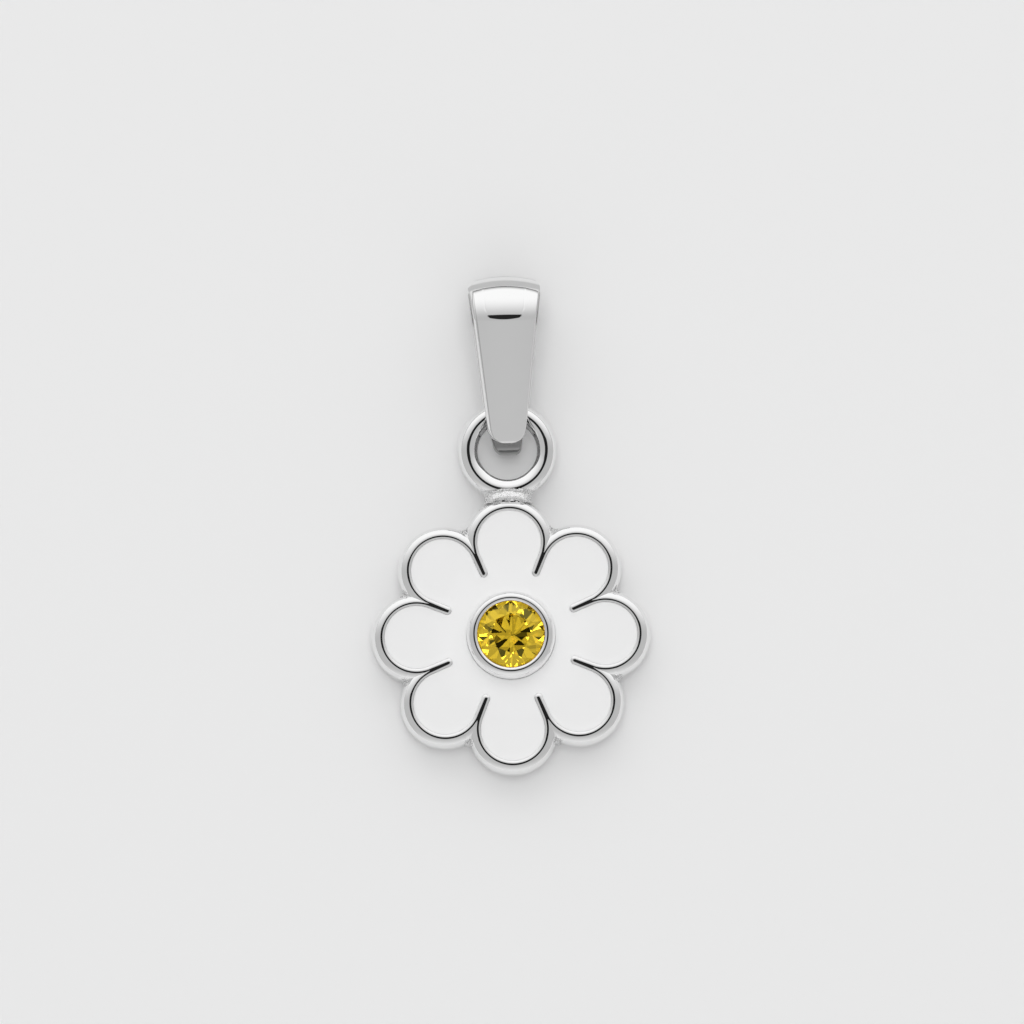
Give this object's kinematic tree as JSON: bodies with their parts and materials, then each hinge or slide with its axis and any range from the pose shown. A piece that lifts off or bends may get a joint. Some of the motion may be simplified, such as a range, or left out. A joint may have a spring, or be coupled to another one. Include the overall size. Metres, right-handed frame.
{
  "type": "flower pendant",
  "caption": "Daisy pendant in polished silver and white enamel with a round yellow stone in a bezel, lying on its back with its tapered bail.",
  "frame": {"origin": "centre of the flower on its flat back, which is what the pendant lies on", "axes": "+Z out of the flower's face, +Y from the flower towards the bail, +X to the right"},
  "size_m": [0.012, 0.0215, 0.0036],
  "materials": {
    "silver_casting": "polished rhodium-plated silver, as cast in the corners",
    "white_enamel": "glossy white enamel",
    "yellow_stone": "faceted and polished",
    "silver_bail": "polished rhodium-plated silver"
  },
  "bodies": {
    "flower": {"flower_frame": "silver_casting", "enamel": "white_enamel", "stone": "yellow_stone"},
    "bail": {"bail": "silver_bail"}
  },
  "joints": [
    {"name": "bail_swing", "type": "hinge", "parent": "flower", "child": "bail", "pos_m": [0, 0.00955, 0.00108], "axis": [1, 0, 0], "range_deg": [-135, 120]}
  ]
}
